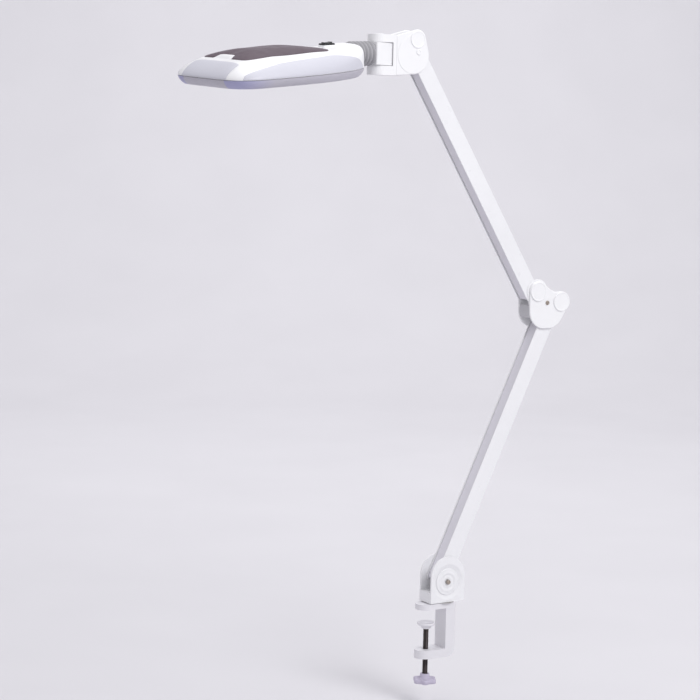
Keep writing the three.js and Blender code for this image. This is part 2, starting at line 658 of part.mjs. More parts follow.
// lift, thick, foot and crest are lengths; front and rear are directions in plan; peak is a share of its run.
const PANEL = {
  lift: 0.9, thick: 1.3, foot: 0.4, front: 134 * DEG, rear: 29 * DEG, crest: 21.9, peak: 0.74,
};

// Side panel: its top edge rises all the way from the front corner, and falls steeply at the neck.
function sidePanel(side) {
  const { front, rear, foot, crest, peak } = PANEL;
  const face = (lift) => (u, v) => {
    const rise = Math.min(1, u / peak) ** 0.4;
    const fall = (1 - (1 - Math.min(1, (1 - u) / (1 - peak))) ** 2.2) ** 0.9;
    const top = foot + 1.2 + (crest - foot - 1.2) * rise * fall;
    return crownPoint(side * (front + (rear - front) * u), foot + (top - foot) * v, lift);
  };
  return skin(20, 3, face(PANEL.lift + PANEL.thick), face(PANEL.lift));
}

function frontPanel() {
  const [half, widening, top] = [31 * DEG, 9 * DEG, 20];
  const face = (lift) => (u, v) => {
    const sweep = half + widening * v ** 2;
    return crownPoint(Math.PI - sweep + 2 * sweep * u, PANEL.foot + (top - PANEL.foot) * v, lift);
  };
  return skin(9, 3, face(PANEL.lift + PANEL.thick), face(PANEL.lift));
}

// Domed dust cover with an arched finger notch in its front edge.
function dustCover() {
  const rings = 4;
  const loopAt = (angle) => {
    const direction = [Math.cos(angle), Math.sin(angle)];
    const share = windowShare(0);
    const edge = reachOf((x, y) => share(WINDOW.x + x, y), direction);
    const row = (lift) =>
      Array.from({ length: rings + 1 }, (_, j) => {
        const r = (edge * j) / rings;
        const [x, y] = [WINDOW.x + r * direction[0], r * direction[1]];
        return [x, y, crownHeight(x, y) + lift + COVER_RIM.dome * (1 - (j / rings) ** 2)];
      });
    return [...row(COVER_RIM.over), ...row(COVER_RIM.under).reverse()];
  };
  const notch = new THREE.Shape();
  notch.absellipse(WINDOW.x - WINDOW.halfLength, 0, 9, 19, 0, 2 * Math.PI, false, 0);
  return cut(sweptRing(ROUND, loopAt), plateZ(notch, 0, 50, 16));
}

function lens() {
  const rings = 3;
  const profile = [];
  for (let j = 0; j <= rings; j++) {
    const r = (LENS.radius * j) / rings;
    profile.push([r, LENS.z - LENS.edge - LENS.bulge * (1 - (j / rings) ** 2)]);
  }
  for (let j = rings; j >= 0; j--) {
    const r = (LENS.radius * j) / rings;
    profile.push([r, LENS.z + LENS.edge + LENS.bulge * (1 - (j / rings) ** 2)]);
  }
  return turnedZ(profile, 32).translate(LENS.x, 0, 0);
}

const ring = (r0, r1, z0, z1) =>
  turnedZ([[r0, z0], [r1, z0], [r1, z1], [r0, z1], [r0, z0]], 28).translate(LENS.x, 0, 0);

function lensFrame() {
  const flange = [[61, -6.4], [70.6, -6.4], [70.6, -4.8], [65.4, -4.8]];
  const collar = [[65.4, 2.5], [63.9, 2.5], [63.9, -3.4], [61, -3.4], [61, -6.4]];
  return turnedZ([...flange, ...collar], 32).translate(LENS.x, 0, 0);
}

add("upper_shell", upperShell(), white, head);
add("lower_shell", lowerShell(), shellGrey, head);
add("side_panel_near", sidePanel(-1), panelGrey, head);
add("side_panel_far", sidePanel(1), panelGrey, head);
add("front_panel", frontPanel(), panelGrey, head);
add("lens", lens(), glass, head);
add("lens_frame", lensFrame(), white, head);
add("led_board", ring(62, 70.4, -7.5, -6.5), board, head);
add("diffuser_ring", ring(62, 70, -9.2, -8.2), milky, head);
add("driver_board", box(96, 142, -17, 17, 6, 7.6), board, head);
add("dust_cover", dustCover(), smoke, head);
add("cover_hinge_pin", rodY(HINGE.radius, -HINGE.half, HINGE.half, HINGE.x, HINGE_Z), white, head);

// Rocker switch on top, behind the cover.
const { x: sx, y: sy, length: sl, width: sw } = SWITCH;
const deck = crownHeight(sx + sl / 2, 0) + 1.1;
const bezel = new THREE.Shape();
bezel.moveTo(sx - sl / 2, sy - sw / 2);
bezel.lineTo(sx + sl / 2, sy - sw / 2);
bezel.lineTo(sx + sl / 2, sy + sw / 2);
bezel.lineTo(sx - sl / 2, sy + sw / 2);
const well = new THREE.Path();
well.moveTo(sx - sl / 2 + 2, sy - sw / 2 + 2);
well.lineTo(sx - sl / 2 + 2, sy + sw / 2 - 2);
well.lineTo(sx + sl / 2 - 2, sy + sw / 2 - 2);
well.lineTo(sx + sl / 2 - 2, sy - sw / 2 + 2);
bezel.holes.push(well);
add("switch_bezel", plateZ(bezel, deck, deck + 2.4), black, head);
const rocker = new THREE.Shape();
rocker.moveTo(sx - 6.4, deck + 1.4);
rocker.lineTo(sx + 6.4, deck + 1.4);
rocker.lineTo(sx + 6.4, deck + 4.4);
rocker.lineTo(sx, deck + 3.2);
rocker.lineTo(sx - 6.4, deck + 3.4);
add("switch_rocker", plateY(rocker, sy - 3.9, sy + 3.9), black, head);

export default lamp;
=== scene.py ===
import json
import math
import bpy
import bmesh
from mathutils import Matrix, Vector


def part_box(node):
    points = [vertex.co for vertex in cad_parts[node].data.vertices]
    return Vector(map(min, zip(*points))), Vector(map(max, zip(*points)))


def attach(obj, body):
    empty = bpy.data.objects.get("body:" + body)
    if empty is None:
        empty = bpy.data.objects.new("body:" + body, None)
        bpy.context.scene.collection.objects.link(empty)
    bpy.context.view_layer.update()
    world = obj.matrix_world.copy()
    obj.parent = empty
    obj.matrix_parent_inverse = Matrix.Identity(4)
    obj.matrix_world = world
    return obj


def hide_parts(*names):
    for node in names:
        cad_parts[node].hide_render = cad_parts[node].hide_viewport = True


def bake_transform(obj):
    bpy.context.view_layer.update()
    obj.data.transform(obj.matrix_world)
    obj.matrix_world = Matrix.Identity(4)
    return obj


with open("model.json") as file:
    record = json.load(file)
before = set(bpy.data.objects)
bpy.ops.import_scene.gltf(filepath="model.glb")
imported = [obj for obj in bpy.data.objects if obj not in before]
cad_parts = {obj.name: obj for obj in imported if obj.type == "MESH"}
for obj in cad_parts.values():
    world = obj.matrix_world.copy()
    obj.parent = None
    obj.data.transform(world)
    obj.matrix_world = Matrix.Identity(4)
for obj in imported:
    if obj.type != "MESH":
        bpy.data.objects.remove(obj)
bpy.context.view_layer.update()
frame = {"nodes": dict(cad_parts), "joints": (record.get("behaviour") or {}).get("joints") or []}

# Clamp-on magnifying lamp. Every length below is in millimetres unless its name says otherwise,
# and each piece is put in place in metres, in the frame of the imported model.
MM = 0.001
TURN = 2 * math.pi
DEG = math.pi / 180
JOINTS = {j["name"]: j for j in frame["joints"]}
WORLD = Matrix.Identity(4)
SIDES = ((-1, "near"), (1, "far"))
WELD_M = 1e-7


def joint_at(name):
    return Vector(JOINTS[name]["pos_m"]) / MM


BASE = joint_at("lower_arm_swing")
ELBOW_LOW = joint_at("elbow_level")
ELBOW_HIGH = joint_at("upper_arm_swing")
TOP = joint_at("bracket_level")
PAN = joint_at("head_pan")

# How the head is turned at rest, and where its origin lies.
YAW, PITCH, ROLL = 8.7 * DEG, 5.7 * DEG, 4.1 * DEG
HEAD_REACH, HEAD_Z = 222, 746
NECK_PLACE = Matrix.Translation(PAN * MM) @ Matrix.Rotation(YAW, 4, "Z")
HEAD_ORIGIN = Vector((PAN.x - HEAD_REACH * math.cos(YAW), -HEAD_REACH * math.sin(YAW), HEAD_Z))
HEAD_TURN = Matrix.Rotation(YAW, 4, "Z") @ Matrix.Rotation(-PITCH, 4, "Y") @ Matrix.Rotation(ROLL, 4, "X")
HEAD_PLACE = Matrix.Translation(HEAD_ORIGIN * MM) @ HEAD_TURN


# ------------------------------------------------------------------ materials
def principled(name, color, roughness, metallic=0.0, **extra):
    material = bpy.data.materials.new(name)
    material.use_nodes = True
    shader = material.node_tree.nodes["Principled BSDF"]
    shader.inputs["Base Color"].default_value = (*color, 1)
    shader.inputs["Roughness"].default_value = roughness
    shader.inputs["Metallic"].default_value = metallic
    for key, value in extra.items():
        shader.inputs[key.replace("_", " ")].default_value = value
    return material, material.node_tree, shader


def noise(tree, scale, detail=3.0, roughness=0.5, stretch=None):
    coords = tree.nodes.new("ShaderNodeTexCoord")
    texture = tree.nodes.new("ShaderNodeTexNoise")
    texture.inputs["Scale"].default_value = scale
    texture.inputs["Detail"].default_value = detail
    texture.inputs["Roughness"].default_value = roughness
    source = coords.outputs["Object"]
    if stretch:
        mapping = tree.nodes.new("ShaderNodeMapping")
        mapping.inputs["Scale"].default_value = stretch
        tree.links.new(source, mapping.inputs["Vector"])
        source = mapping.outputs["Vector"]
    tree.links.new(source, texture.inputs["Vector"])
    return texture.outputs["Fac"]


def ramp(tree, source, stops):
    """Colour ramp from (position, colour) stops."""
    node = tree.nodes.new("ShaderNodeValToRGB")
    elements = node.color_ramp.elements
    while len(elements) < len(stops):
        elements.new(0.5)
    for element, (at, color) in zip(elements, stops):
        element.position = at
        element.color = (*color, 1)
    tree.links.new(source, node.inputs["Fac"])
    return node.outputs["Color"]


def spread(tree, source, low, high):
    node = tree.nodes.new("ShaderNodeMapRange")
    node.inputs["From Min"].default_value = 0.3
    node.inputs["From Max"].default_value = 0.7
    node.inputs["To Min"].default_value = low
    node.inputs["To Max"].default_value = high
    tree.links.new(source, node.inputs["Value"])
    return node.outputs["Result"]


def bump(tree, shader, height, strength, depth_m):
    node = tree.nodes.new("ShaderNodeBump")
    node.inputs["Strength"].default_value = strength
    node.inputs["Distance"].default_value = depth_m
    tree.links.new(height, node.inputs["Height"])
    tree.links.new(node.outputs["Normal"], shader.inputs["Normal"])


def worn_edges(tree, source_color, worn, low, high):
    """The base colour, changed a little where the surface is most convex."""
    geometry = tree.nodes.new("ShaderNodeNewGeometry")
    edge = tree.nodes.new("ShaderNodeMapRange")
    edge.inputs["From Min"].default_value = low
    edge.inputs["From Max"].default_value = high
    tree.links.new(geometry.outputs["Pointiness"], edge.inputs["Value"])
    mix = tree.nodes.new("ShaderNodeMix")
    mix.data_type = "RGBA"
    tree.links.new(edge.outputs["Result"], mix.inputs["Factor"])
    tree.links.new(source_color, mix.inputs["A"])
    mix.inputs["B"].default_value = (*worn, 1)
    return mix.outputs["Result"]


def shade(color, factor):
    return tuple(c * factor for c in color)


def enamel(name, color, roughness=0.32):
    """Sprayed enamel on metal: faint orange peel, uneven gloss and slightly dulled edges."""
    material, tree, shader = principled(name, color, roughness, Coat_Weight=0.25, Coat_Roughness=0.12)
    blotch = noise(tree, 14, 4)
    base = ramp(tree, blotch, [(0.3, shade(color, 0.965)), (0.7, color)])
    worn = worn_edges(tree, base, shade(color, 0.93), 0.56, 0.72)
    tree.links.new(worn, shader.inputs["Base Color"])
    gloss = spread(tree, noise(tree, 60, 3), roughness - 0.05, roughness + 0.08)
    tree.links.new(gloss, shader.inputs["Roughness"])
    bump(tree, shader, noise(tree, 900, 2), 0.18, 0.00012)
    return material


def moulded(name, color, roughness=0.42, grain=1500, strength=0.22):
    """Injection-moulded plastic: a fine spark-eroded grain over a soft colour drift."""
    material, tree, shader = principled(name, color, roughness)
    base = ramp(tree, noise(tree, 10, 3), [(0.3, shade(color, 0.97)), (0.7, color)])
    worn = worn_edges(tree, base, shade(color, 1.03), 0.55, 0.7)
    tree.links.new(worn, shader.inputs["Base Color"])
    gloss = spread(tree, noise(tree, 90, 4), roughness - 0.04, roughness + 0.1)
    tree.links.new(gloss, shader.inputs["Roughness"])
    bump(tree, shader, noise(tree, grain, 2, 0.6), strength, 0.0001)
    return material


def along_head(tree, axis, near, far):
    """0 to 1 from near to far along one of the head's own axes, in millimetres; across, it is mirrored."""
    coords = tree.nodes.new("ShaderNodeTexCoord")
    local = tree.nodes.new("ShaderNodeVectorMath")
    local.operation = "DOT_PRODUCT"
    direction = HEAD_TURN.to_3x3() @ Vector(axis)
    local.inputs[1].default_value = direction
    tree.links.new(coords.outputs["Object"], local.inputs[0])
    shift = tree.nodes.new("ShaderNodeMath")
    shift.operation = "SUBTRACT"
    shift.inputs[1].default_value = direction.dot(HEAD_ORIGIN) * MM
    tree.links.new(local.outputs["Value"], shift.inputs[0])
    value = shift.outputs["Value"]
    if axis[1]:
        mirror = tree.nodes.new("ShaderNodeMath")
        mirror.operation = "ABSOLUTE"
        tree.links.new(value, mirror.inputs[0])
        value = mirror.outputs["Value"]
    reach = tree.nodes.new("ShaderNodeMapRange")
    reach.inputs["From Min"].default_value = near * MM
    reach.inputs["From Max"].default_value = far * MM
    tree.links.new(value, reach.inputs["Value"])
    return reach.outputs["Result"]


# The lilac starts sharply this far from the head's middle line, and deepens this way towards the front.
LILAC_ACROSS, LILAC_ALONG = (42.5, 43.5), (-18, -62)


def lilac_cornered(name, color, accent):
    """Grey lower shell whose two front corners turn lilac, sharply in front and slowly behind."""
    material, tree, shader = principled(name, color, 0.42)
    both = tree.nodes.new("ShaderNodeMath")
    both.operation = "MULTIPLY"
    tree.links.new(along_head(tree, (0, 1, 0), *LILAC_ACROSS), both.inputs[0])
    tree.links.new(along_head(tree, (1, 0, 0), *LILAC_ALONG), both.inputs[1])
    tint = ramp(tree, both.outputs["Value"], [(0.0, color), (1.0, accent)])
    tree.links.new(tint, shader.inputs["Base Color"])
    tree.links.new(spread(tree, noise(tree, 90, 4), 0.36, 0.5), shader.inputs["Roughness"])
    bump(tree, shader, noise(tree, 1500, 2, 0.6), 0.2, 0.0001)
    return material


def brushed(name, color, roughness=0.3, stretch=(1, 1, 30)):
    """Machined steel with fine turning marks."""
    material, tree, shader = principled(name, color, roughness, 1.0)
    marks = noise(tree, 260, 4, 0.6, stretch)
    base = ramp(tree, marks, [(0.3, shade(color, 0.82)), (0.7, color)])
    tree.links.new(base, shader.inputs["Base Color"])
    tree.links.new(spread(tree, marks, roughness - 0.08, roughness + 0.14), shader.inputs["Roughness"])
    bump(tree, shader, marks, 0.25, 0.00008)
    return material


def soft_rubber(name, color):
    """Matt rubber with a dusty bloom and fine pores."""
    material, tree, shader = principled(name, color, 0.68, Sheen_Weight=0.3, Sheen_Roughness=0.4)
    base = ramp(tree, noise(tree, 45, 5, 0.65), [(0.3, shade(color, 0.9)), (0.7, shade(color, 1.06))])
    tree.links.new(base, shader.inputs["Base Color"])
    bump(tree, shader, noise(tree, 1200, 3, 0.7), 0.35, 0.00015)
    return material


def smoked(name, color):
    """Smoked translucent plastic: dark, glossy, with faint swirls."""
    material, tree, shader = principled(name, color, 0.4, Specular_IOR_Level=0.2)
    base = ramp(tree, noise(tree, 9, 3), [(0.3, shade(color, 0.94)), (0.7, shade(color, 1.05))])
    tree.links.new(base, shader.inputs["Base Color"])
    tree.links.new(spread(tree, noise(tree, 50, 4), 0.36, 0.48), shader.inputs["Roughness"])
    bump(tree, shader, noise(tree, 60, 2), 0.02, 0.0001)
    return material


def lens_glass(name):
    material, tree, shader = principled(name, (0.93, 0.98, 0.97), 0.02, Transmission_Weight=1.0, IOR=1.5)
    tree.links.new(spread(tree, noise(tree, 30, 3), 0.01, 0.05), shader.inputs["Roughness"])
    return material


def frosted(name, color):
    """Light diffuser: milky with a fine prismatic ripple."""
    material, tree, shader = principled(name, color, 0.5, Transmission_Weight=0.2, Subsurface_Weight=0.3)
    bump(tree, shader, noise(tree, 420, 1), 0.4, 0.0002)
    return material


def printed_board(name):
    material, tree, shader = principled(name, (0.86, 0.9, 0.86), 0.45)
    tracks = noise(tree, 240, 1, 0.3, (1, 0.2, 1))
    base = ramp(tree, tracks, [(0.47, (0.86, 0.9, 0.86)), (0.53, (0.72, 0.8, 0.72))])
    tree.links.new(base, shader.inputs["Base Color"])
    bump(tree, shader, tracks, 0.2, 0.00005)
    return material


WHITE_ENAMEL = enamel("white_enamel", (0.83, 0.83, 0.85))
WHITE_PLASTIC = moulded("white_plastic", (0.85, 0.85, 0.865), 0.36)
CLAMP_CAST = enamel("clamp_enamel", (0.76, 0.75, 0.785), 0.4)
GREY_PANEL = moulded("grey_panel", (0.6, 0.6, 0.665), 0.45, 1900, 0.3)
# Grey plastic, made darker than the side panels: partly its own grey, partly painted shade on the head's
# underside.
GREY_SHELL_PAINTED_SHADE = lilac_cornered("grey_shell", (0.46, 0.445, 0.505), (0.37, 0.365, 0.56))
LINK_GREY = enamel("link_enamel", (0.7, 0.685, 0.74), 0.4)
# The elbow's wall is white; this darker grey is painted shade for the shade on the elbow's left side.
WALL_PAINTED_SHADE = enamel("wall_painted_shade", (0.52, 0.515, 0.54), 0.45)
STEEL = brushed("steel", (0.62, 0.6, 0.58))
BRONZE = brushed("bronzed_screw", (0.46, 0.4, 0.35), 0.28)
DARK_STEEL = brushed("dark_steel", (0.1, 0.085, 0.085), 0.36)
KNOB_LILAC = moulded("knob_plastic", (0.52, 0.48, 0.6), 0.5, 1100, 0.35)
BELLOWS = soft_rubber("bellows_rubber", (0.36, 0.355, 0.375))
BLACK = moulded("black_plastic", (0.012, 0.012, 0.014), 0.3, 1600, 0.12)
SMOKE = smoked("smoked_plastic", (0.1, 0.072, 0.09))
GLASS = lens_glass("lens_glass")
BOARD = printed_board("circuit_board")
DIFFUSER = frosted("diffuser", (0.88, 0.88, 0.84))
LED_YELLOW = moulded("led_phosphor", (0.85, 0.75, 0.25), 0.3)


# ------------------------------------------------------------------ piece helpers
def soften(obj, width, segments=3, angle=32):
    """Rounds the sharp edges and keeps flat faces flat in the shading."""
    bevel = obj.modifiers.new("edges", "BEVEL")
    bevel.width = width * MM
    bevel.segments = segments
    bevel.limit_method = "ANGLE"
    bevel.angle_limit = angle * DEG
    bevel.use_clamp_overlap = True
    normals = obj.modifiers.new("normals", "WEIGHTED_NORMAL")
    normals.keep_sharp = True


def outward(mesh, weld=True):
    """Joins the points that coincide and turns every face outward."""
    work = bmesh.new()
    work.from_mesh(mesh)
    if weld:
        bmesh.ops.remove_doubles(work, verts=work.verts, dist=WELD_M)
    bmesh.ops.recalc_face_normals(work, faces=work.faces)
    work.to_mesh(mesh)
    work.free()


def smooth(mesh, crease):
    """Smooth shading, with an edge wherever the surface turns by more than the crease angle."""
    for polygon in mesh.polygons:
        polygon.use_smooth = True
    mesh.set_sharp_from_angle(angle=crease * DEG)


def piece(name, shape, body, material, stands_for=(), place=WORLD, crease=40, edge=0, segments=3):
    verts, faces = shape
    mesh = bpy.data.meshes.new(name)
    mesh.from_pydata([place @ (Vector(v) * MM) for v in verts], [], faces)
    mesh.update()
    outward(mesh)
    smooth(mesh, crease)
    mesh.materials.append(material)
    obj = bpy.data.objects.new(name, mesh)
    bpy.context.scene.collection.objects.link(obj)
    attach(obj, body)
    if stands_for:
        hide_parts(*stands_for)
    if edge:
        soften(obj, edge, segments)
    return obj


def finish_node(node, material, edge=0.4, crease=40, segments=2):
    """A CAD node that stays, with a material, smooth curves and rounded edges."""
    obj = frame["nodes"][node]
    obj.data.materials.clear()
    obj.data.materials.append(material)
    smooth(obj.data, crease)
    if edge:
        soften(obj, edge, segments, crease)


def merged(*shapes):
    verts, faces = [], []
    for more_verts, more_faces in shapes:
        start = len(verts)
        verts += more_verts
        faces += [[start + i for i in face] for face in more_faces]
    return verts, faces


def moved(shape, offset):
    return [tuple(Vector(v) + Vector(offset)) for v in shape[0]], shape[1]


def turned_by(shape, matrix):
    return [tuple(matrix @ Vector(v)) for v in shape[0]], shape[1]


def lathe(profile, sides=72, axis="Y", closed=False):
    """Turned solid. Profile points are (radius, distance along the axis)."""
    def spot(r, h, angle):
        a, b = r * math.cos(angle), r * math.sin(angle)
        return {"X": (h, a, b), "Y": (a, h, b), "Z": (a, b, h)}[axis]

    verts = [spot(r, h, TURN * i / sides) for i in range(sides) for r, h in profile]
    size = len(profile)
    faces = []
    for i in range(sides):
        here, there = i * size, (i + 1) % sides * size
        for j in range(size if closed else size - 1):
            k = (j + 1) % size
            faces.append([here + j, here + k, there + k, there + j])
    return verts, faces


def prism(outline, low, high, axis="Y"):
    """Straight-sided solid from an outline in the plane across the axis."""
    put = {
        "X": lambda a, b, h: (h, a, b),
        "Y": lambda a, b, h: (a, h, b),
        "Z": lambda a, b, h: (a, b, h),
    }[axis]
    size = len(outline)
    verts = [put(a, b, h) for h in (low, high) for a, b in outline]
    faces = [list(range(size)), list(range(size, 2 * size))[::-1]]
    faces += [[i, (i + 1) % size, size + (i + 1) % size, size + i] for i in range(size)]
    return verts, faces


def block(x0, x1, y0, y1, z0, z1):
    return prism([(x0, z0), (x1, z0), (x1, z1), (x0, z1)], y0, y1)


def belt(circles, steps=96):
    """Outline of a belt round circles given as (x, z, radius)."""
    points = sorted(
        (x + r * math.cos(TURN * i / steps), z + r * math.sin(TURN * i / steps))
        for x, z, r in circles
        for i in range(steps)
    )

    def chain(order):
        kept = []
        for p in order:
            while len(kept) > 1:
                (ox, oz), (ax, az) = kept[-2:]
                if (ax - ox) * (p[1] - oz) - (az - oz) * (p[0] - ox) > 1e-6:
                    break
                kept.pop()
            kept.append(p)
        return kept[:-1]

    return chain(points) + chain(points[::-1])


def loop_grid(loops, closed_round=True):
    """Faces between neighbouring closed loops of points. The loops form a ring or an open run."""
    size = len(loops[0])
    verts = [p for loop in loops for p in loop]
    faces = []
    for i in range(len(loops) if closed_round else len(loops) - 1):
        here, there = i * size, (i + 1) % len(loops) * size
        for j in range(size):
            k = (j + 1) % size
            faces.append([here + j, here + k, there + k, there + j])
    return verts, faces


def loop_strip(runs):
    """Faces between neighbouring open runs of points that go once round."""
    size = len(runs[0])
    verts = [p for run in runs for p in run]
    faces = []
    for i in range(len(runs)):
        here, there = i * size, (i + 1) % len(runs) * size
        faces += [[here + j, here + j + 1, there + j + 1, there + j] for j in range(size - 1)]
    return verts, faces


def skin(columns, rows, outer, inner):
    """Thin curved solid between two surfaces, each a function of u and v from 0 to 1."""
    spots = [(i / columns, j / rows) for i in range(columns + 1) for j in range(rows + 1)]
    verts = [face(u, v) for face in (outer, inner) for u, v in spots]
    inside = (columns + 1) * (rows + 1)

    def at(i, j):
        return i * (rows + 1) + j

    faces = []
    for i in range(columns):
        for j in range(rows):
            quad = [at(i, j), at(i + 1, j), at(i + 1, j + 1), at(i, j + 1)]
            faces += [quad, [inside + q for q in quad[::-1]]]
    rim = [at(i, 0) for i in range(columns)] + [at(columns, j) for j in range(rows)]
    rim += [at(i, rows) for i in range(columns, 0, -1)] + [at(0, j) for j in range(rows, 0, -1)]
    for a, b in zip(rim, rim[1:] + rim[:1]):
        faces.append([a, b, inside + b, inside + a])
    return verts, faces


def tube(path, radius, sides=8):
    """Round wire along a list of points, with closed ends."""
    aside = Vector((0.13, 0.37, 1.0))  # a direction that the wire never runs along
    loops = []
    for i, point in enumerate(path):
        before, after = Vector(path[max(i - 1, 0)]), Vector(path[min(i + 1, len(path) - 1)])
        along = (after - before).normalized()
        across = along.cross(aside).normalized()
        up = along.cross(across)
        centre = Vector(point)
        loops.append([
            tuple(centre + radius * (math.cos(TURN * k / sides) * across + math.sin(TURN * k / sides) * up))
            for k in range(sides)
        ])
    verts, faces = loop_grid(loops, False)
    last = len(verts) - sides
    return verts, faces + [list(range(sides))[::-1], list(range(last, last + sides))]


# ------------------------------------------------------------------ camera, light and floor
VIEW_AZIMUTH = 32 * DEG
CAMERA_PLACE_M = (-1.5791, -2.3051, 0.6719)


def camera():
    """Long lens, low and to the near left of the lamp, tipped slightly down."""
    azimuth, down, tip = VIEW_AZIMUTH, 6.19 * DEG, 1.27 * DEG
    level = Vector((math.sin(azimuth), math.cos(azimuth), 0))
    right = Vector((math.cos(azimuth), -math.sin(azimuth), 0))
    up = Vector((0, 0, 1))
    forward = math.cos(down) * level - math.sin(down) * up
    lifted = math.cos(down) * up + math.sin(down) * level
    side = math.cos(tip) * right + math.sin(tip) * lifted
    top = -math.sin(tip) * right + math.cos(tip) * lifted
    data = bpy.data.cameras.new("camera")
    data.sensor_width = 36
    data.lens = 102.34
    data.clip_end = 100
    obj = bpy.data.objects.new("camera", data)
    turn = Matrix((side, top, -forward)).transposed()
    obj.matrix_world = Matrix.Translation(Vector(CAMERA_PLACE_M)) @ turn.to_4x4()
    bpy.context.scene.collection.objects.link(obj)
    bpy.context.scene.camera = obj


def area_light(name, place, target, size, power):
    data = bpy.data.lights.new(name, "AREA")
    data.shape = "DISK"
    data.size = size
    data.energy = power
    obj = bpy.data.objects.new(name, data)
    obj.location = place
    obj.rotation_euler = (Vector(target) - Vector(place)).to_track_quat("-Z", "Y").to_euler()
    obj.visible_camera = False
    bpy.context.scene.collection.objects.link(obj)


def backdrop():
    """Pale floor, just below the knob's lowest reach, that sweeps up into a wall far behind the lamp."""
    along = Vector((math.sin(VIEW_AZIMUTH), math.cos(VIEW_AZIMUTH), 0))
    across = Vector((along.y, -along.x, 0))
    drop, front, back, bend, top, half = -0.1395, -7.0, 3.0, 2.2, 7.0, 9.0
    run = [(front, drop), (back, drop)]
    for i in range(1, 25):
        angle = 90 * DEG * i / 24
        run.append((back + bend * math.sin(angle), drop + bend * (1 - math.cos(angle))))
    run.append((back + bend, top))
    verts = [tuple(along * d + across * side * half + Vector((0, 0, z))) for d, z in run for side in (-1, 1)]
    mesh = bpy.data.meshes.new("floor")
    mesh.from_pydata(verts, [], [[2 * i, 2 * i + 1, 2 * i + 3, 2 * i + 2] for i in range(len(run) - 1)])
    for polygon in mesh.polygons:
        polygon.use_smooth = True
    material, tree, shader = principled("floor_paper", (0.8, 0.79, 0.83), 0.9)
    base = ramp(tree, noise(tree, 3, 2), [(0.3, (0.665, 0.655, 0.685)), (0.7, (0.685, 0.675, 0.705))])
    tree.links.new(base, shader.inputs["Base Color"])
    mesh.materials.append(material)
    floor = bpy.data.objects.new("floor", mesh)
    bpy.context.scene.collection.objects.link(floor)


def studio():
    """Soft sky, slightly brighter on the left, with a broad key light from the near right, one from above
    and one on the wall behind."""
    world = bpy.data.worlds.new("studio")
    world.use_nodes = True
    tree = world.node_tree
    background = tree.nodes["Background"]
    coords = tree.nodes.new("ShaderNodeTexCoord")
    split = tree.nodes.new("ShaderNodeSeparateXYZ")
    tree.links.new(coords.outputs["Generated"], split.inputs["Vector"])
    side = tree.nodes.new("ShaderNodeMapRange")
    side.inputs["From Min"].default_value = -1.0
    side.inputs["From Max"].default_value = 0.6
    tree.links.new(split.outputs["X"], side.inputs["Value"])
    sky = ramp(tree, side.outputs["Result"], [(0.0, (0.92, 0.91, 0.95)), (1.0, (0.87, 0.87, 0.89))])
    tree.links.new(sky, background.inputs["Color"])
    background.inputs["Strength"].default_value = 0.79
    bpy.context.scene.world = world
    bpy.context.scene.view_settings.view_transform = "Standard"
    middle = (-0.1, 0, 0.5)
    area_light("key", (0.45, -2.1, 2.0), middle, 1.3, 33)
    area_light("top", (0.2, 0.4, 3.0), middle, 2.0, 22)
    area_light("wall", (0.9, 1.7, 3.4), (2.6, 4.6, 1.2), 2.6, 58)


camera()
studio()
backdrop()


# ------------------------------------------------------------------ clamp
def clamp_pieces():
    finish_node("clamp_frame", CLAMP_CAST, 1.1, 30, 3)
    finish_node("swivel_stud", STEEL, 0.3)
    finish_node("swivel_washer", STEEL, 0)

    # Round pad with a shallow rim and a neck that swivels on the screw's tip.
    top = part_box("pressure_pad")[1].z / MM
    rim = [(0, 0.5), (10.4, 0.5), (11.2, 0), (12.4, 0), (13, 0.8), (12.8, 2.6), (11.5, 3.8), (8.4, 5.4),
           (7, 7), (6.6, 8.6), (5.6, 9), (4.3, 9), (4.3, 4.4), (0, 4.4)]
    pad = lathe([(r, top - below) for r, below in rim], 72, "Z")
    piece("pad", pad, "screw_pad", CLAMP_CAST, ["pressure_pad"], crease=50)

    # Screw with a rolled V thread and a plain, chamfered tip.
    low, high = (corner.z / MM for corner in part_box("clamp_screw"))
    pitch, major, depth, sides, steps = 1.25, 4.0, 0.65, 36, 6
    count = int((high - low) / pitch * steps)
    loops = []
    for i in range(count + 1):
        z = low + (high - low) * i / count
        ease = min(1.0, (high - z) / 6, (z - low) / 2 + 0.4)
        ring = []
        for k in range(sides):
            phase = (z / pitch - k / sides) % 1
            r = major - depth * (1 - abs(2 * phase - 1)) * max(ease, 0)
            r -= max(0, 1 - (high - z) / 0.8) * 0.7
            ring.append((r * math.cos(TURN * k / sides), r * math.sin(TURN * k / sides), z))
        loops.append(ring)
    verts, faces = loop_grid(loops, False)
    last = len(verts) - sides
    faces += [list(range(sides))[::-1], list(range(last, last + sides))]
    piece("threaded_screw", (verts, faces), "screw", DARK_STEEL, ["clamp_screw"], crease=60)

    # Six-lobed knob with rounded rims, a dished underside and a moulded hub.
    low, high = (corner.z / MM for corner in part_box("clamp_knob"))
    rows = [(0.0, 0.3, low + 1.2), (0.42, 0.3, low + 1.2), (0.5, 0.3, low + 0.4), (0.92, 1, low),
            (0.975, 1, low + 0.4), (1, 1, low + 1.3), (1, 1, low + 5.3), (0.97, 1, low + 6.2),
            (0.88, 1, low + 6.7), (0.7, 0.9, low + 6.3), (0.52, 0.5, low + 6.6), (0.43, 0.15, low + 8.2),
            (0.395, 0, low + 10), (0.385, 0, high - 0.6), (0.35, 0, high), (0.27, 0, high),
            (0.25, 0, high - 2.5), (0.0, 0, high - 2.5)]
    radius, scoop_depth, lobes, sides = 17.5, 3.4, 6, 180
    runs = []
    for k in range(sides):
        angle = TURN * k / sides
        scoop = 0.5 - 0.5 * math.cos(lobes * angle)
        run = []
        for r, share, z in rows:
            reach = r * (radius - scoop_depth * share * scoop)
            run.append((reach * math.cos(angle), reach * math.sin(angle), z))
        runs.append(run)
    piece("knob", loop_strip(runs), "screw", KNOB_LILAC, ["clamp_knob"], crease=45)


clamp_pieces()


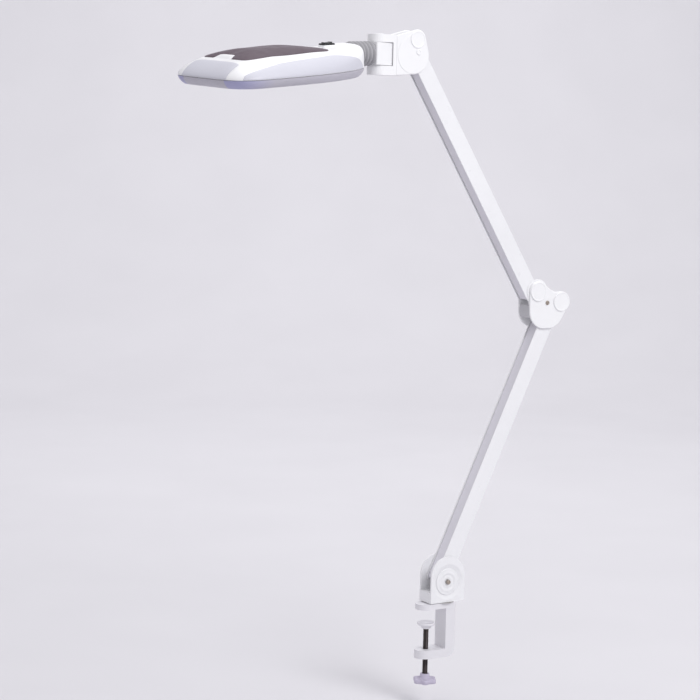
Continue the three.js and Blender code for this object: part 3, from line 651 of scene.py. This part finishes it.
# ------------------------------------------------------------------ base yoke
def screw_head(radius, seat, top):
    """Pan head with a shallow round dip on top, along +Y from its seat."""
    rise = top - seat
    crown = [(0, seat), (radius, seat), (radius, seat + 0.5 * rise), (radius * 0.9, seat + 0.82 * rise),
             (radius * 0.55, top), (radius * 0.5, top - 0.1), (radius * 0.42, top - 0.5), (0, top - 0.6)]
    return lathe(crown, 48, "Y")


def facing(shape, side, at):
    """Puts a piece made along +Y on the near (-1) or far (+1) side."""
    turn = Matrix.Rotation(math.pi, 3, "Z") if side < 0 else Matrix.Identity(3)
    return moved(turned_by(shape, turn), (at.x, 0, at.z))


YOKE_FACE = 14.6


def base_pieces():
    finish_node("base_yoke", WHITE_ENAMEL, 0.9, 30, 3)
    for node in ("base_pivot_pin", "base_link_pin"):
        finish_node(node, STEEL, 0)
    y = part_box("base_disc_far")[0].y / MM
    rings = [(3.9, 0), (19.1, 0), (19.3, 0.3), (19, 0.75), (17.6, 0.8), (15.2, 0.7), (14.6, 0.95),
             (13.6, 1.3), (12.4, 1.35), (11.5, 1.1), (10.9, 0.7), (8.2, 0.65), (7.7, 0.95), (6.8, 1.1),
             (5.9, 0.85), (4.6, 0.75), (3.9, 0.6)]
    disc = lathe([(r, y + rise) for r, rise in rings], 96, "Y", True)
    seat = YOKE_FACE + 0.3
    for side, word in SIDES:
        piece(f"disc_{word}", facing(disc, side, BASE), "base_swivel", WHITE_ENAMEL,
              [f"base_disc_{word}"], crease=55)
        screw = facing(screw_head(3.2, seat, seat + 2.5), side, BASE)
        piece(f"pivot_screw_{word}", screw, "base_swivel", BRONZE, [f"base_screw_{word}"])


base_pieces()


# ------------------------------------------------------------------ arms
def coil(length, name, body, node, place):
    """Close-wound extension spring with a hook at each end."""
    low, high, radius, wire = 0.16 * length + 7, 0.84 * length - 7, 3.5, 0.62
    turns, steps = 90, 14
    path = [(radius * math.cos(TURN * i / steps), radius * math.sin(TURN * i / steps),
             low + (high - low) * i / (turns * steps)) for i in range(turns * steps + 1)]
    hook = [(0, 0, low - 4.4), (2.2, 0, low - 3.4), (radius, 0, low - 1.4)]
    far_hook = [(radius, 0, high + 1.4), (2.2, 0, high + 3.4), (0, 0, high + 4.4)]
    shape = moved(tube(hook + path + far_hook, wire, 6), (-2.4, 0, 0))
    piece(name, shape, body, STEEL, [node], place, crease=80)


def arm_place(low, high):
    lean = math.atan2(high.x - low.x, high.z - low.z)
    return Matrix.Translation(low * MM) @ Matrix.Rotation(lean, 4, "Y"), (high - low).length


def arm_pieces():
    for stage, low, high in (("lower", BASE, ELBOW_LOW), ("upper", ELBOW_HIGH, TOP)):
        place, length = arm_place(low, high)
        finish_node(f"{stage}_arm_channel", WHITE_ENAMEL, 0.45, 30, 3)
        finish_node(f"{stage}_arm_link", LINK_GREY, 0.4, 30, 3)
        coil(length, f"{stage}_coil", f"{stage}_arm", f"{stage}_arm_spring", place)
    finish_node("cord_grommet", BLACK, 0.3, 35)


arm_pieces()


# ------------------------------------------------------------------ elbow and head bracket
def exit_from(centre, angle, outline):
    """How far a ray from the centre runs before it leaves the closed outline for the last time."""
    dx, dz = math.cos(angle), math.sin(angle)
    far = 0
    for (ax, az), (bx, bz) in zip(outline, outline[1:] + outline[:1]):
        ex, ez = bx - ax, bz - az
        cross = dx * ez - dz * ex
        if abs(cross) < 1e-9:
            continue
        px, pz = ax - centre[0], az - centre[1]
        along, share = (px * ez - pz * ex) / cross, (px * dz - pz * dx) / cross
        if along > far and -1e-6 <= share <= 1 + 1e-6:
            far = along
    return far


def around(centre, outlines, steps=160):
    """Outline round several overlapping ones, seen from a centre that lies in all of them."""
    points = []
    for i in range(steps):
        angle = TURN * i / steps
        r = max(exit_from(centre, angle, outline) for outline in outlines)
        points.append((centre[0] + r * math.cos(angle), centre[1] + r * math.sin(angle)))
    return points


def side_plate(name, outline, side, near, far, body, edge, stands_for=(), segments=3):
    """Plate on one side, between two distances from the middle plane, with a rounded rim."""
    plate = prism(outline, *sorted((side * near, side * far)))
    piece(name, plate, body, WHITE_PLASTIC, stands_for, edge=edge, segments=segments)


def round_cap(name, at, radius, side, body, node):
    seat, top = 15.1, 16.6
    crown = [(0, seat), (radius - 0.2, seat), (radius, seat + 0.2), (radius, top - 0.7),
             (radius - 0.25, top - 0.25), (radius - 0.8, top), (radius - 2.2, top),
             (radius - 2.6, top - 0.25), (radius - 3.2, top - 0.3), (0, top - 0.15)]
    cap = facing(lathe(crown, 84, "Y"), side, at)
    piece(name, cap, body, WHITE_PLASTIC, [node], crease=60)


def centre_of(node):
    low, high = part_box(node)
    return (low + high) / 2 / MM


def housing(name, body, outline, caps):
    """A lobed cover on each side, with its round caps."""
    for side, word in SIDES:
        cover = [f"{name}_cover_{word}"]
        side_plate(f"{name}_shell_{word}", outline, side, 11.9, 15.0, body, 1.1, cover, 4)
        for label, at, radius in caps:
            round_cap(f"{name}_lid_{label}{word}", at, radius, side, body, f"{name}_cap_{label}{word}")


def elbow_pieces():
    (x, z), heel_x, radius, centre = (183, 423.5), 191.5, 26, (185, 432)
    lobe, heel = (x, z, radius), (heel_x, z, radius)
    ends = [(at.x, at.z, 15) for at in (ELBOW_LOW, ELBOW_HIGH)]
    ears = around(centre, [belt([lobe, heel, end]) for end in ends])
    housing("elbow", "elbow", ears, [("lower_", ELBOW_LOW, 14.4), ("upper_", ELBOW_HIGH, 14.4)])
    screw = facing(screw_head(3.2, 14.9, 16.5), -1, centre_of("elbow_screw"))
    piece("elbow_pan_screw", screw, "elbow", BRONZE, ["elbow_screw"])
    collar = belt([(ELBOW_HIGH.x, ELBOW_HIGH.z, 17.9), (x, z, 24)])
    for side, word in SIDES:
        side_plate(f"elbow_collar_{word}", collar, side, 11.35, 12, "elbow", 0.1)

    # Curved wall between the covers, short enough to stay clear of both arms; its dark grey is painted shade
    # on a white wall.
    arc = [math.pi * (0.9 + 0.23 * i / 30) for i in range(31)]
    wall = [(x + 25.6 * math.cos(a), z + 25.6 * math.sin(a)) for a in arc]
    wall += [(x + 24 * math.cos(a), z + 24 * math.sin(a)) for a in arc[::-1]]
    piece("elbow_wall", prism(wall, -12, 12), "elbow", WALL_PAINTED_SHADE, ["elbow_front_wall"])


def bracket_pieces():
    x, z, block_x = -56.7, 781, -82.4
    block_end = [(block_x, 805.9, 1.5), (block_x, 754.5, 1.5)]
    outline = belt([(x, z, 26), (TOP.x, TOP.z, 13.5)] + block_end)
    housing("bracket", "head_bracket", outline, [("", TOP, 12.2)])
    raised = belt([(x, z, 25.2), (TOP.x, TOP.z, 12.7)])
    for side, word in SIDES:
        side_plate(f"bracket_lobe_{word}", raised, side, 14.9, 15.45, "head_bracket", 0.3)
    screw = facing(screw_head(4.2, 15.3, 16.6), -1, centre_of("bracket_screw"))
    piece("bracket_screw_cap", screw, "head_bracket", WHITE_PLASTIC, ["bracket_screw"])
    finish_node("bracket_yoke", WHITE_PLASTIC, 0.35, 30, 3)


def knuckle_and_pins():
    # Drum about the pan pin, cut flat on both sides and where the bellows meets it.
    low, high = (corner.z / MM - PAN.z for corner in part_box("pan_knuckle"))
    radius, face, cheek, steps = 20.2, -15, 14.7, 120
    drum = []
    for i in range(steps):
        x, y = radius * math.cos(TURN * i / steps), radius * math.sin(TURN * i / steps)
        drum.append((max(x, face), max(-cheek, min(cheek, y))))
    piece("knuckle_drum", prism(drum, low, high, "Z"), "knuckle", WHITE_PLASTIC,
          ["pan_knuckle"], NECK_PLACE, edge=0.4)
    for node in ("elbow_lower_pivot_pin", "elbow_lower_link_pin", "elbow_upper_pivot_pin",
                 "elbow_upper_link_pin", "bracket_pivot_pin", "bracket_link_pin", "tilt_pin", "neck_stem"):
        finish_node(node, STEEL, 0)
    finish_node("tilt_fork", DARK_STEEL, 0.3)

    # Pan pin with a button head, a little shorter at both ends than its CAD solid.
    low, high = (corner.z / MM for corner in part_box("pan_pin"))
    low, high = low + 1.4, high - 1.2
    button = high - 0.9
    shaft = [(0, low), (3.4, low), (4, low + 0.6), (4, button), (6.7, button), (7, button + 0.2),
             (7, high - 0.4), (6.6, high - 0.1), (5.4, high), (0, high)]
    bolt = moved(lathe(shaft, 60, "Z"), (PAN.x, 0, 0))
    piece("pan_bolt", bolt, "head_bracket", WHITE_ENAMEL, ["pan_pin"], crease=50)


elbow_pieces()
bracket_pieces()
knuckle_and_pins()


# ------------------------------------------------------------------ head surface
FRONT, REAR, HALF = 74, 185.4, 79.8
FRONT_POWER, REAR_POWER, HEIGHT = 4.3, 2, 32
SADDLE_X, SADDLE_DIP, SADDLE_REACH = 120, 5, 32
COLLAR_X, COLLAR_RUN, COLLAR_RISE = 138, 24, 1.8
WINDOW_X, WINDOW_LENGTH, WINDOW_HALF = 33, 75, 49
NOTCH_DEPTH, NOTCH_HALF = 9, 19
LENS_X, LENS_RADIUS = 6, 63.5


def plan_share(x, y):
    """1 on the head's outline seen from above, less inside it."""
    length, power = (FRONT, FRONT_POWER) if x < 0 else (REAR, REAR_POWER)
    return (abs(x / length) ** power + abs(y / HALF) ** power) ** (1 / power)


def crown_power(x, y):
    along = x / (FRONT if x < 0 else REAR)
    share = along / (math.hypot(along, y / HALF) or 1)
    return 2 + 0.5 * share if share < 0 else 2 + 6 * share**3


def ridge(x):
    """Height of the crown's ridge, which dips behind the dust cover and rises again at the neck."""
    climb = max(0, min(1, (x - COLLAR_X) / COLLAR_RUN))
    dip = SADDLE_DIP * math.exp(-(((x - SADDLE_X) / SADDLE_REACH) ** 2))
    return HEIGHT - dip + COLLAR_RISE * climb**2 * (3 - 2 * climb)


def crown_height(x, y):
    power = crown_power(x, y)
    return ridge(x) * max(0, 1 - plan_share(x, y) ** power) ** (1 / power)


def plan_direction(angle):
    x = math.cos(angle) * (FRONT if math.cos(angle) < 0 else REAR)
    y = math.sin(angle) * HALF
    size = math.hypot(x, y)
    return x / size, y / size


def reach_of(share, direction):
    """How far the outline where share is 1 lies in a direction."""
    dx, dy = direction
    low, high = 0, 400
    for _ in range(34):
        middle = (low + high) / 2
        if share(middle * dx, middle * dy) < 1:
            low = middle
        else:
            high = middle
    return low


def window_share(inset):
    """Blunt in front and rounder behind."""
    length, half = WINDOW_LENGTH - inset, WINDOW_HALF - inset

    def share(x, y):
        power = 8 if x < WINDOW_X else 5
        return (abs((x - WINDOW_X) / length) ** power + abs(y / half) ** power) ** (1 / power)

    return share


def crown_point(angle, z, lift):
    """Point of the crown at a height, lifted off its surface."""
    dx, dy = plan_direction(angle)
    power = crown_power(dx, dy)
    edge = reach_of(plan_share, (dx, dy)) + lift
    r = edge
    for _ in range(6):
        r = edge * max(0, 1 - (z / (ridge(r * dx) + lift)) ** power) ** (1 / power)
    return r * dx, r * dy, z


def cut_pocket(obj, crease):
    """Clears the round pocket at the rear, which the bellows runs into."""
    mouth, end, radius, height = 167, 215, 19, 16.5
    profile = [(0, mouth), (radius - 0.4, mouth), (radius, mouth + 1), (radius, end), (0, end)]
    verts, faces = moved(lathe(profile, 96, "X"), (0, 0, height))
    cutter_mesh = bpy.data.meshes.new("pocket")
    cutter_mesh.from_pydata([HEAD_PLACE @ (Vector(v) * MM) for v in verts], [], faces)
    outward(cutter_mesh)
    cutter = bpy.data.objects.new("pocket", cutter_mesh)
    bpy.context.scene.collection.objects.link(cutter)
    boolean = obj.modifiers.new("pocket", "BOOLEAN")
    boolean.object = cutter
    boolean.operation = "DIFFERENCE"
    boolean.solver = "EXACT"
    evaluated = obj.evaluated_get(bpy.context.evaluated_depsgraph_get())
    result = bpy.data.meshes.new_from_object(evaluated)
    obj.modifiers.clear()
    obj.data = result
    bpy.data.objects.remove(cutter)
    obj.data.set_sharp_from_angle(angle=crease * DEG)


# ------------------------------------------------------------------ head shells and panels
ROUND = 180
WALL = 2.2


def upper_shell():
    rows = 22
    loops = []
    for k in range(ROUND):
        direction = plan_direction(TURN * k / ROUND)
        edge = reach_of(plan_share, direction)
        opening = reach_of(window_share(4), direction) / edge
        power = crown_power(*direction)
        top = math.acos(opening ** (power / 2))

        def row(wall, count):
            run = []
            for j in range(count + 1):
                tilt = top * j / count
                r = (edge - wall) * math.cos(tilt) ** (2 / power)
                z = (ridge(r * direction[0]) - wall) * math.sin(tilt) ** (2 / power)
                run.append((r * direction[0], r * direction[1], z))
            return run

        loops.append(row(0, rows) + row(WALL, 8)[::-1])
    obj = piece("head_upper_shell", loop_grid(loops), "head", WHITE_PLASTIC,
                ["upper_shell"], HEAD_PLACE, crease=45)
    cut_pocket(obj, 45)


def lower_shell():
    seam, floor, thick, hole = -0.6, -11.6, 2, 69
    outer = [(0.35, seam), (0.05, seam - 0.4), (0.6, -3), (1.2, -4.3), (2, -5.6), (3, -7), (4.2, -8.3),
             (5.4, -9.4), (6.8, -10.4), (8, -11.2), (9.2, floor)]
    inner = [(9.8, floor + thick), (6.2, -7.4), (4.2, -5), (3, -3), (2.4, seam)]
    loops = []
    for k in range(ROUND):
        direction = plan_direction(TURN * k / ROUND)
        edge = reach_of(plan_share, direction)
        rim = reach_of(lambda x, y: math.hypot(x - LENS_X, y) / hole, direction)
        profile = [(edge - inset, z) for inset, z in outer]
        profile += [(rim + 0.4, floor), (rim, floor + 0.4), (rim, floor + thick)]
        profile += [(max(edge - inset, rim + 0.6), z) for inset, z in inner]
        loops.append([(r * direction[0], r * direction[1], z) for r, z in profile])
    obj = piece("head_lower_shell", loop_grid(loops), "head", GREY_SHELL_PAINTED_SHADE, ["lower_shell"],
                HEAD_PLACE, crease=40)
    cut_pocket(obj, 40)


PANEL_FOOT, PANEL_LIFT, PANEL_INSIDE = 0.5, 0.75, 0.15


def rounded_lift(u, v, columns, rows):
    """Panel lift that falls away over the last steps to each edge, so that its rim is rounded."""
    near = min(u * columns, (1 - u) * columns, v * rows, (1 - v) * rows)
    return PANEL_LIFT * (0.55, 0.88, 1.0)[min(int(near + 0.5), 2)]


def side_panel(side, word):
    """Its top edge rises all the way from the front corner, and falls steeply at the neck."""
    columns, rows, peak, crest = 110, 22, 0.74, 21.9
    front, rear, foot = 134 * DEG, 29 * DEG, PANEL_FOOT + 1.2

    def face(lifted):
        def at(u, v):
            rise = min(1, u / peak) ** 0.4
            fall = (1 - (1 - min(1, (1 - u) / (1 - peak))) ** 2.2) ** 0.9
            top = foot + (crest - foot) * rise * fall
            lift = rounded_lift(u, v, columns, rows) if lifted else PANEL_INSIDE
            angle = side * (front + (rear - front) * u)
            return crown_point(angle, PANEL_FOOT + (top - PANEL_FOOT) * v, lift)

        return at

    panel = skin(columns, rows, face(True), face(False))
    piece(f"head_side_{word}", panel, "head", GREY_PANEL, [f"side_panel_{word}"], HEAD_PLACE,
          crease=50)


def front_panel():
    columns, rows, top = 60, 24, 20

    def face(lifted):
        def at(u, v):
            half = (31 + 9 * v**2) * DEG
            corner = abs(2 * u - 1) ** 10
            lift = rounded_lift(u, v, columns, rows) if lifted else PANEL_INSIDE
            reach = (top - PANEL_FOOT) * (1 - 0.12 * corner)
            return crown_point(math.pi - half + 2 * half * u, PANEL_FOOT + reach * v, lift)

        return at

    panel = skin(columns, rows, face(True), face(False))
    piece("head_front", panel, "head", GREY_PANEL, ["front_panel"], HEAD_PLACE, crease=50)


def cover_edge(angle):
    """Distance from the cover's middle to its rim, or to the finger notch in front."""
    dx, dy = math.cos(angle), math.sin(angle)
    share = window_share(0)
    rim = reach_of(lambda x, y: share(WINDOW_X + x, y), (dx, dy))
    if dx < 0:
        # Where the ray first meets the notch's ellipse, centred on the middle of the front edge.
        a = (dx / NOTCH_DEPTH) ** 2 + (dy / NOTCH_HALF) ** 2
        b = 2 * dx * WINDOW_LENGTH / NOTCH_DEPTH**2
        c = (WINDOW_LENGTH / NOTCH_DEPTH) ** 2 - 1
        inside = b * b - 4 * a * c
        if inside > 0:
            rim = min(rim, (-b - math.sqrt(inside)) / (2 * a))
    return rim


def dust_cover():
    rings, sides = 18, 300
    runs = []
    for k in range(sides):
        angle = TURN * k / sides
        dx, dy = math.cos(angle), math.sin(angle)
        edge = cover_edge(angle)

        def at(share, lift):
            x, y = WINDOW_X + edge * share * dx, edge * share * dy
            return x, y, crown_height(x, y) + lift + 0.5 * (1 - share**2)

        top = [at((j / rings) ** 0.85 * 0.98, 0.75) for j in range(rings + 1)]
        rim = [at(0.99, 0.7), at(0.996, 0.5), at(1.0, 0.25), at(0.998, 0.1)]
        under = [at((j / 8) * 0.97, 0.1) for j in range(8, -1, -1)]
        runs.append(top + rim + under)
    piece("smoked_cover", loop_strip(runs), "cover", SMOKE, ["dust_cover"], HEAD_PLACE,
          crease=50)


def finger_tab():
    """Raised white finger tab inside the notch of the dust cover."""
    half, front, length, height = 21, -41.5, 13, 1.9

    def face(drop):
        def at(u, v):
            x, y = front + length * v, -half + 2 * half * u
            swell = height * math.sin(math.pi * v) * (1 - (y / half) ** 2)
            return x, y, crown_height(x, y) - drop + swell

        return at

    tab = skin(36, 14, face(0.1), face(2.0))
    piece("finger_tab", tab, "head", WHITE_PLASTIC, (), HEAD_PLACE)


upper_shell()
lower_shell()
for side, word in SIDES:
    side_panel(side, word)
front_panel()
dust_cover()
finger_tab()
finish_node("cover_hinge_pin", WHITE_PLASTIC, 0.3)


# ------------------------------------------------------------------ lens, light ring and switch
def lens_ring(name, profile, material, node, closed=True, crease=40):
    """Piece turned about the lens's axis."""
    shape = moved(lathe(profile, 120, "Z", closed), (LENS_X, 0, 0))
    piece(name, shape, "head", material, [node], HEAD_PLACE, crease=crease)


def optics():
    middle, edge, bulge, steps = -1, 1.5, 4.5, 20

    def face(sign, order):
        return [(LENS_RADIUS * j / steps, middle + sign * (edge + bulge * (1 - (j / steps) ** 2)))
                for j in order]

    lens = face(-1, range(steps + 1)) + face(1, range(steps, -1, -1))
    lens_ring("magnifier", lens, GLASS, "lens", False)
    holder = [(61, -6.2), (61.2, -6.4), (70.6, -6.4), (70.6, -4.8), (65.4, -4.8), (65.4, 2.3), (65.1, 2.5),
              (64.1, 2.5), (63.9, 2.3), (63.9, -3.4), (61.2, -3.4), (61, -3.6)]
    lens_ring("lens_holder", holder, WHITE_PLASTIC, "lens_frame")
    ripple = [(62 + 8 * j / 22, -9.2 + (0.22 if j % 2 else 0)) for j in range(23)]
    rippled = ripple + [(70, -8.2), (62, -8.2)]
    lens_ring("light_diffuser", rippled, DIFFUSER, "diffuser_ring", crease=25)
    plate = [(62, -7.5), (70.4, -7.5), (70.4, -6.5), (62, -6.5)]
    lens_ring("light_board", plate, BOARD, "led_board", crease=30)
    chip = block(64.9, 67.7, -1.4, 1.4, -8.15, -7.52)
    chips, count = [], 60
    for k in range(count):
        turn = Matrix.Rotation(TURN * k / count, 3, "Z")
        chips.append(moved(turned_by(chip, turn), (LENS_X, 0, 0)))
    piece("light_chips", merged(*chips), "head", LED_YELLOW, (), HEAD_PLACE)
    finish_node("driver_board", BOARD, 0)


def switch():
    """Rocker in a frame whose skirt reaches down to the crown."""
    x, y, deck = 134, 2, 29.9
    half_x, half_y, wall = 9.5, 6.5, 2

    def rounded(hx, hy, r, steps=8):
        points = []
        for cx, cy, start in ((hx - r, hy - r, 0), (-hx + r, hy - r, 90), (-hx + r, -hy + r, 180),
                              (hx - r, -hy + r, 270)):
            for i in range(steps + 1):
                angle = (start + 90 * i / steps) * DEG
                points.append((cx + r * math.cos(angle), cy + r * math.sin(angle)))
        return points

    outer, inner = rounded(half_x, half_y, 1.6), rounded(half_x - wall, half_y - wall, 0.6)
    skirt, frame_ring = [], []
    for (ox, oy), (ix, iy) in zip(outer, inner):
        foot = min(deck + 0.1, crown_height(x + ox, y + oy) - 0.3)
        skirt.append([(x + ox * 1.04, y + oy * 1.06, foot), (x + ox * 1.02, y + oy * 1.03, deck + 0.2),
                      (x + ix, y + iy, deck + 0.2), (x + ix, y + iy, foot)])
        frame_ring.append([
            (x + ox, y + oy, deck + 0.2), (x + ox, y + oy, deck + 1.6),
            (x + ox * 0.96, y + oy * 0.95, deck + 2.2), (x + ox * 0.92, y + oy * 0.9, deck + 2.4),
            (x + ix, y + iy, deck + 2.4), (x + ix, y + iy, deck + 0.2),
        ])
    seat, bezel = loop_grid(skirt), loop_grid(frame_ring)
    piece("switch_seat", seat, "head", WHITE_PLASTIC, (), HEAD_PLACE, crease=50)
    piece("switch_frame", bezel, "head", BLACK, ["switch_bezel"], HEAD_PLACE, crease=50)
    steps = 16
    top = [(x - 6.4 + 12.8 * i / steps, deck + 3.05 + 0.9 * abs(2 * i / steps - 1) ** 1.6 + 0.4 * i / steps)
           for i in range(steps + 1)]
    outline = [(x - 6.4, deck + 1.4), (x + 6.4, deck + 1.4)] + top[::-1]
    rocker = prism(outline, y - 3.9, y + 3.9)
    piece("rocker_cap", rocker, "rocker", BLACK, ["switch_rocker"], HEAD_PLACE, edge=0.35)


optics()
switch()


# ------------------------------------------------------------------ bellows
def bellows():
    """Corrugated sleeve from the knuckle into the head's pocket."""
    start, end, ridges, sides, steps = 15.4, 54, 6, 96, 12
    outer, valley, bore = 16.9, 13.7, 12.4
    profile = []
    for i in range(ridges * steps + 1):
        phase = i / steps
        wave = 0.5 - 0.5 * math.cos(TURN * phase)
        along = start + (end - start) * i / (ridges * steps)
        profile.append((valley + (outer - valley) * wave**0.7, along))
    inner = [(bore, end - (end - start) * i / 24) for i in range(25)]
    shape = lathe(profile + inner, sides, "X", True)
    verts = [(-x, y, z) for x, y, z in shape[0]]
    sag = Matrix.Rotation(-3.4 * DEG, 3, "Y")
    verts = [tuple(sag @ Vector(v) + Vector((0, 0, 1))) for v in verts]
    mesh = bpy.data.meshes.new("neck_sleeve")
    mesh.from_pydata([NECK_PLACE @ (Vector(v) * MM) for v in verts], [], shape[1])
    outward(mesh, weld=False)
    smooth(mesh, 60)
    mesh.materials.append(BELLOWS)
    obj = bpy.data.objects.new("neck_sleeve", mesh)
    bpy.context.scene.collection.objects.link(obj)
    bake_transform(obj)
    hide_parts("neck_bellows")


bellows()
